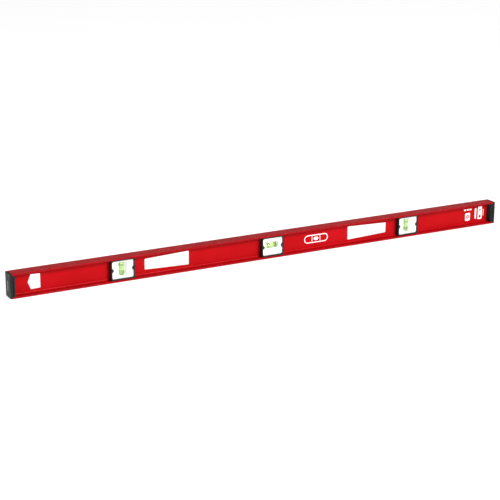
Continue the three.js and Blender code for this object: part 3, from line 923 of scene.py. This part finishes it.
def add_screw(prefix, hand):
    """A pan-head screw with a cross recess, its head towards the front."""
    node = f"{prefix}_screw_{hand}"
    low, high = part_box(node)
    x, radius = middle_x(node), (high.x - low.x) / 2
    top, tip = low.y, high.y
    foot = top + HEAD_HEIGHT - HEAD_SEAT_GAP
    shell = Shell()
    profile = [(radius * share, top + depth) for share, depth in HEAD_RIM]
    profile += [(radius, foot), (SCREW_SHANK, foot)]
    for i in range(SCREW_THREAD_TURNS):
        from_tip = SCREW_THREAD_START + (SCREW_THREAD_END - SCREW_THREAD_START) * i / SCREW_THREAD_TURNS
        profile.append((SCREW_SHANK * SCREW_THREAD_ROOT, tip - from_tip))
        profile.append((SCREW_SHANK, tip - from_tip + SCREW_THREAD_FLANK))
    profile += [(SCREW_SHANK * share, tip - from_tip) for share, from_tip in SCREW_POINT]
    head, end = shell.tube([at_y(circle(0, 0, r, 28), y, x) for r, y in profile])
    recess, floor = shell.tube([
        at_y(cross_outline(radius * reach, half_slot), top + depth, x)
        for reach, half_slot, depth in zip(RECESS_REACH, RECESS_HALF_SLOT, (0, RECESS_DEPTH))])
    shell.cap(head, recess)
    shell.cap(floor)
    shell.cap(end)
    place(shell.build(f"{prefix}_fixing_{hand}", STEEL), "level", "black_steel", node)


# ------------------------------------------------------------------ vials

def bore_radius(along):
    """The barrel bore, widest in the middle."""
    middle, end = TUBE_RADIUS - TUBE_WALL_MIDDLE, TUBE_RADIUS - TUBE_WALL_END
    return middle - (middle - end) * (along / BORE_TOP) ** 2


def bore_profile(start, end, gap, steps=12):
    """(radius, height) pairs along the bore, held gap away from its wall."""
    stations = [start + (end - start) * i / steps for i in range(steps + 1)]
    return [(bore_radius(s) - gap, s) for s in stations]


def lay_vial(piece, x, is_level):
    """Puts a round piece, made upright about the origin, on its vial's axis."""
    turn = Matrix.Rotation(math.pi / 2, 4, "Y") if is_level else Matrix.Identity(4)
    piece.data.transform(Matrix.Translation((x, 0, MID_HEIGHT)) @ turn)
    return piece


def rounded_ends(profile, size):
    """The profile with a quarter round at its first and last points, which lie on flat ends."""
    (first, start), (last, end) = profile[0], profile[-1]
    head = [(first - i, start + d) for i, d in bevel_steps(size, 3)]
    tail = [(last - i, end - d) for i, d in reversed(bevel_steps(size, 3))]
    return head + [p for p in profile[1:-1] if start + size < p[1] < end - size] + tail


def add_vial(prefix, is_level):
    """A tube with its plug, its fluid and its marking rings. The bubble is a piece of its own."""
    x = middle_x(f"{prefix}_vial_tube")
    half = TUBE_HALF_LENGTH
    outer = [(TUBE_RADIUS - i, -half + d) for i, d in bevel_steps(TUBE_FLOOR_EDGE, 4)]
    outer += [(TUBE_RADIUS - i, half - d) for i, d in reversed(bevel_steps(TUBE_MOUTH_EDGE, 3))]
    mouth_radius = bore_radius(BORE_TOP)
    mouth = [(mouth_radius + TUBE_MOUTH_CHAMFER, half), (mouth_radius, half - TUBE_MOUTH_CHAMFER)]
    tube = turned_shell(outer + mouth + bore_profile(BORE_TOP, BORE_FLOOR, 0.0))
    tube_piece = lay_vial(tube.build(f"{prefix}_acrylic_tube", ACRYLIC), x, is_level)
    place(tube_piece, "level", "clear_acrylic", f"{prefix}_vial_tube")

    plug_radius = mouth_radius - THIN_GAP
    plug = turned_shell(rounded_ends(
        [(plug_radius, BORE_TOP + STOPPER_SEAT), (plug_radius, half - STOPPER_RECESS)], STOPPER_EDGE))
    plug_piece = lay_vial(plug.build(f"{prefix}_stopper", WHITE), x, is_level)
    place(plug_piece, "level", "white_plastic", f"{prefix}_vial_plug")

    fluid = turned_shell(rounded_ends(
        bore_profile(BORE_FLOOR + FLUID_GAP, BORE_TOP - FLUID_GAP, FLUID_GAP), FLUID_EDGE))
    fluid_piece = lay_vial(fluid.build(f"{prefix}_spirit", FLUID), x, is_level)
    place(fluid_piece, "level", "green_fluid", f"{prefix}_fluid")

    rings = Shell()
    for ring_place in [sign * p for p in RING_PLACES for sign in (-1, 1)]:
        low, high = ring_place - RING_WIDTH / 2, ring_place + RING_WIDTH / 2
        inner, outer_radius = TUBE_RADIUS + RING_RAISE / 8, TUBE_RADIUS + RING_RAISE
        profile = [(inner, low), (outer_radius, low), (outer_radius, high), (inner, high)]
        rings.tube(turned(profile, 64), closed=True)
    ring_piece = lay_vial(rings.build(f"{prefix}_marking_rings", RING_INK), x, is_level)
    place(ring_piece, "level", "black_plastic")


def add_plumb_bubble(prefix):
    """A slug of gas with domed ends that fills the top of an upright bore."""
    low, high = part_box(f"{prefix}_bubble")
    radius = (high.x - low.x) / 2
    turns = [math.radians(a) for a in (2, 15, 30, 45, 60, 75, 90)]
    bottom = [(radius * math.sin(a), low.z + PLUMB_BUBBLE_DOME * (1 - math.cos(a))) for a in turns]
    top = [(r, low.z + high.z - z) for r, z in reversed(bottom)]
    shell = turned_shell(bottom + top)
    piece = shell.build(f"{prefix}_bubble_gas", GAS)
    piece.data.transform(Matrix.Translation((middle_x(f"{prefix}_bubble"), 0, 0)))
    place(piece, f"{prefix}_bubble", "gas", f"{prefix}_bubble")


def add_level_bubble(prefix):
    """A long oval under the top of the bore, trimmed to the bore's curve."""
    low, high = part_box(f"{prefix}_bubble")
    centre = Vector((middle_x(f"{prefix}_bubble"), 0, MID_HEIGHT + LEVEL_BUBBLE_RISE))
    half_x, half_y = (high.x - low.x) / 2, (high.y - low.y) / 2
    half_z = centre.z - low.z
    limit = high.z - MID_HEIGHT
    shell = Shell()
    loops = []
    for i in range(1, LEVEL_BUBBLE_STEPS):
        along = -math.cos(math.pi * i / LEVEL_BUBBLE_STEPS)
        across = math.sqrt(1 - along ** 2)
        loop = []
        for j in range(LEVEL_BUBBLE_SIDES):
            turn = 2 * math.pi * j / LEVEL_BUBBLE_SIDES
            y = half_y * across * math.cos(turn)
            z = LEVEL_BUBBLE_RISE + half_z * across * math.sin(turn)
            trim = min(1.0, limit / math.hypot(y, z))
            loop.append(Vector((centre.x + half_x * along, y * trim, MID_HEIGHT + z * trim)))
        loops.append(loop)
    first, last = shell.tube(loops)
    shell.cap(first)
    shell.cap(last)
    piece = shell.build(f"{prefix}_bubble_gas", GAS)
    place(piece, f"{prefix}_bubble", "gas", f"{prefix}_bubble")


# ------------------------------------------------------------------ printed marks, without lettering

def print_shapes(name, *shapes):
    """Flat ink on the front of the web. Each shape is an outline followed by any holes in it."""
    shell = Shell()
    near, far = -HALF_WEB - INK_LIFT, -HALF_WEB - INK_THICKNESS
    for shape in shapes:
        front, back = [], []
        for outline in shape:
            last, first = shell.tube([at_y(outline, near), at_y(outline, far)])
            back.append(last)
            front.append(first)
        shell.cap(*front)
        shell.cap(*back)
    place(shell.build(name, INK), "level", "white_plastic")


def bar(x, z, width, height, corner=0.4 * MM):
    """A rounded rectangle about (x, z)."""
    return shifted(rounded_rectangle(width, height, corner, steps=3), x, z)


def add_vial_pictogram():
    """A plain picture of a vial beside the centre block: a capsule, two marks and a bubble."""
    x, z = 117.2 * MM, -0.5 * MM
    length, height, line = 62 * MM, 19 * MM, 2.2 * MM
    mark_place, mark_width = 10.5 * MM, 1.6 * MM
    mark_height = height - 2 * line - 2 * MM
    bubble_radius, bubble_stretch = 4.2 * MM, 1.5

    def capsule(inset):
        width, depth = length - 2 * inset, height - 2 * inset
        return shifted(rounded_rectangle(width, depth, depth / 2 - APART, steps=14), x, z)

    bubble = [(px * bubble_stretch, pz) for px, pz in circle(0, 0, bubble_radius, 40)]
    print_shapes(
        "print_vial_pictogram",
        [capsule(0.0), capsule(line)],
        [bar(x - mark_place, z, mark_width, mark_height)],
        [bar(x + mark_place, z, mark_width, mark_height)],
        [shifted(bubble, x, z)],
    )


def add_end_print():
    """Plain panels and bars near the right end."""
    badge_x, thick_x, panel_x, thin_x = (d * MM - HALF_LENGTH for d in (1148.7, 1172, 1184.7, 1194.5))
    badge_z, ring, dot = -5.2 * MM, 4.6 * MM, 2 * MM
    tile_z, tile_spacing = 12.3 * MM, 8 * MM
    print_shapes(
        "print_end_panels",
        *[[bar(badge_x + i * tile_spacing, tile_z, 6 * MM, 3.6 * MM)] for i in (-1, 0, 1)],
        [bar(badge_x, badge_z, 14 * MM, 19 * MM, 2.4 * MM), circle(badge_x, badge_z, ring)],
        [circle(badge_x, badge_z, dot)],
        [bar(thick_x, 0.3 * MM, 4.5 * MM, 26 * MM, 1 * MM)],
        [
            bar(panel_x, 0.8 * MM, 12 * MM, 31 * MM, 0.8 * MM),
            bar(panel_x, 8 * MM, 6 * MM, 3 * MM),
            bar(panel_x, -8 * MM, 6 * MM, 6 * MM),
        ],
        [bar(thin_x, 0.6 * MM, 1.6 * MM, 16 * MM)],
    )


# ------------------------------------------------------------------ floor, light and camera

def add_floor():
    """A pale floor that glows a little, so that it comes out white all round the level."""
    finish = Finish("pale_floor", Roughness=0.9, Specular_IOR_Level=0.1)
    colour = finish.blend(finish.noise(3), (0.40, 0.40, 0.40, 1), (0.42, 0.42, 0.42, 1))
    finish.set("Base Color", colour)
    finish.shader.inputs["Emission Color"].default_value = (1, 1, 1, 1)
    finish.shader.inputs["Emission Strength"].default_value = FLOOR_GLOW
    shell = Shell()
    size, height = FLOOR_HALF_SIZE, BEAM_LOW.z - FLOOR_GAP
    corners = [(-size, -size), (size, -size), (size, size), (-size, size)]
    shell.bm.faces.new(shell.ring([Vector((x, y, height)) for x, y in corners]))
    floor = shell.build("floor", finish.material)


def add_world():
    """A white studio that is bright all round and dark overhead."""
    world = bpy.data.worlds.new("studio")
    world.use_nodes = True
    tree = world.node_tree
    background = tree.nodes["Background"]
    background.inputs["Color"].default_value = (1, 1, 1, 1)
    direction = tree.nodes.new("ShaderNodeTexCoord")
    split = tree.nodes.new("ShaderNodeSeparateXYZ")
    fade = tree.nodes.new("ShaderNodeMapRange")
    limits = {"From Min": 0, "From Max": DARK_FROM, "To Min": HORIZON_LIGHT, "To Max": ZENITH_LIGHT}
    for socket, number in limits.items():
        fade.inputs[socket].default_value = number
    tree.links.new(direction.outputs["Generated"], split.inputs["Vector"])
    tree.links.new(split.outputs["Z"], fade.inputs["Value"])
    tree.links.new(fade.outputs["Result"], background.inputs["Strength"])
    bpy.context.scene.world = world


def add_softbox(name, location, target, size, power):
    """A rectangular lamp that faces the target."""
    light = bpy.data.lights.new(name, "AREA")
    light.shape = "RECTANGLE"
    light.size, light.size_y = size
    light.energy = power
    lamp = bpy.data.objects.new(name, light)
    lamp.location = location
    direction = Vector(target) - Vector(location)
    lamp.rotation_euler = direction.to_track_quat("-Z", "Y").to_euler()
    bpy.context.scene.collection.objects.link(lamp)


def add_camera():
    """Looks down at the front from the left, from CAMERA_DISTANCE away."""
    turn, rise = math.radians(CAMERA_AZIMUTH), math.radians(CAMERA_ELEVATION)
    toward = Vector((math.sin(turn) * math.cos(rise), math.cos(turn) * math.cos(rise), -math.sin(rise)))
    data = bpy.data.cameras.new("camera")
    data.sensor_width = SENSOR_WIDTH
    data.lens = LENS
    camera = bpy.data.objects.new("camera", data)
    camera.location = Vector(CAMERA_AIM) - toward * CAMERA_DISTANCE
    camera.rotation_euler = (math.radians(90 - CAMERA_ELEVATION), 0, -turn)
    bpy.context.scene.collection.objects.link(camera)
    bpy.context.scene.camera = camera


# ------------------------------------------------------------------ everything

add_beam()
for name, side in (("end_cap_left", -1), ("end_cap_right", 1)):
    add_end_cap(name, side)
for prefix, is_level in BLOCKS.items():
    for side in ("front", "rear"):
        add_housing(prefix, side)
        add_reflector(prefix, side, is_level)
    for hand in ("left", "right"):
        add_screw(prefix, hand)
    add_vial(prefix, is_level)
    if is_level:
        add_level_bubble(prefix)
    else:
        add_plumb_bubble(prefix)
add_vial_pictogram()
add_end_print()

add_floor()
add_world()
add_softbox("key", location=(1.5, -4.2, 3.1), target=(0, 0, 0), size=(2.0, 1.6), power=300)
add_softbox("fill", location=(-2.2, -2.6, 1.2), target=(-0.2, 0, 0), size=(1.6, 0.7), power=8)
add_softbox("end", location=(-2.3, 1.2, 0.8), target=(-0.6, 0, 0), size=(1.0, 0.7), power=26)
add_camera()
bpy.context.scene.view_settings.view_transform = "Standard"
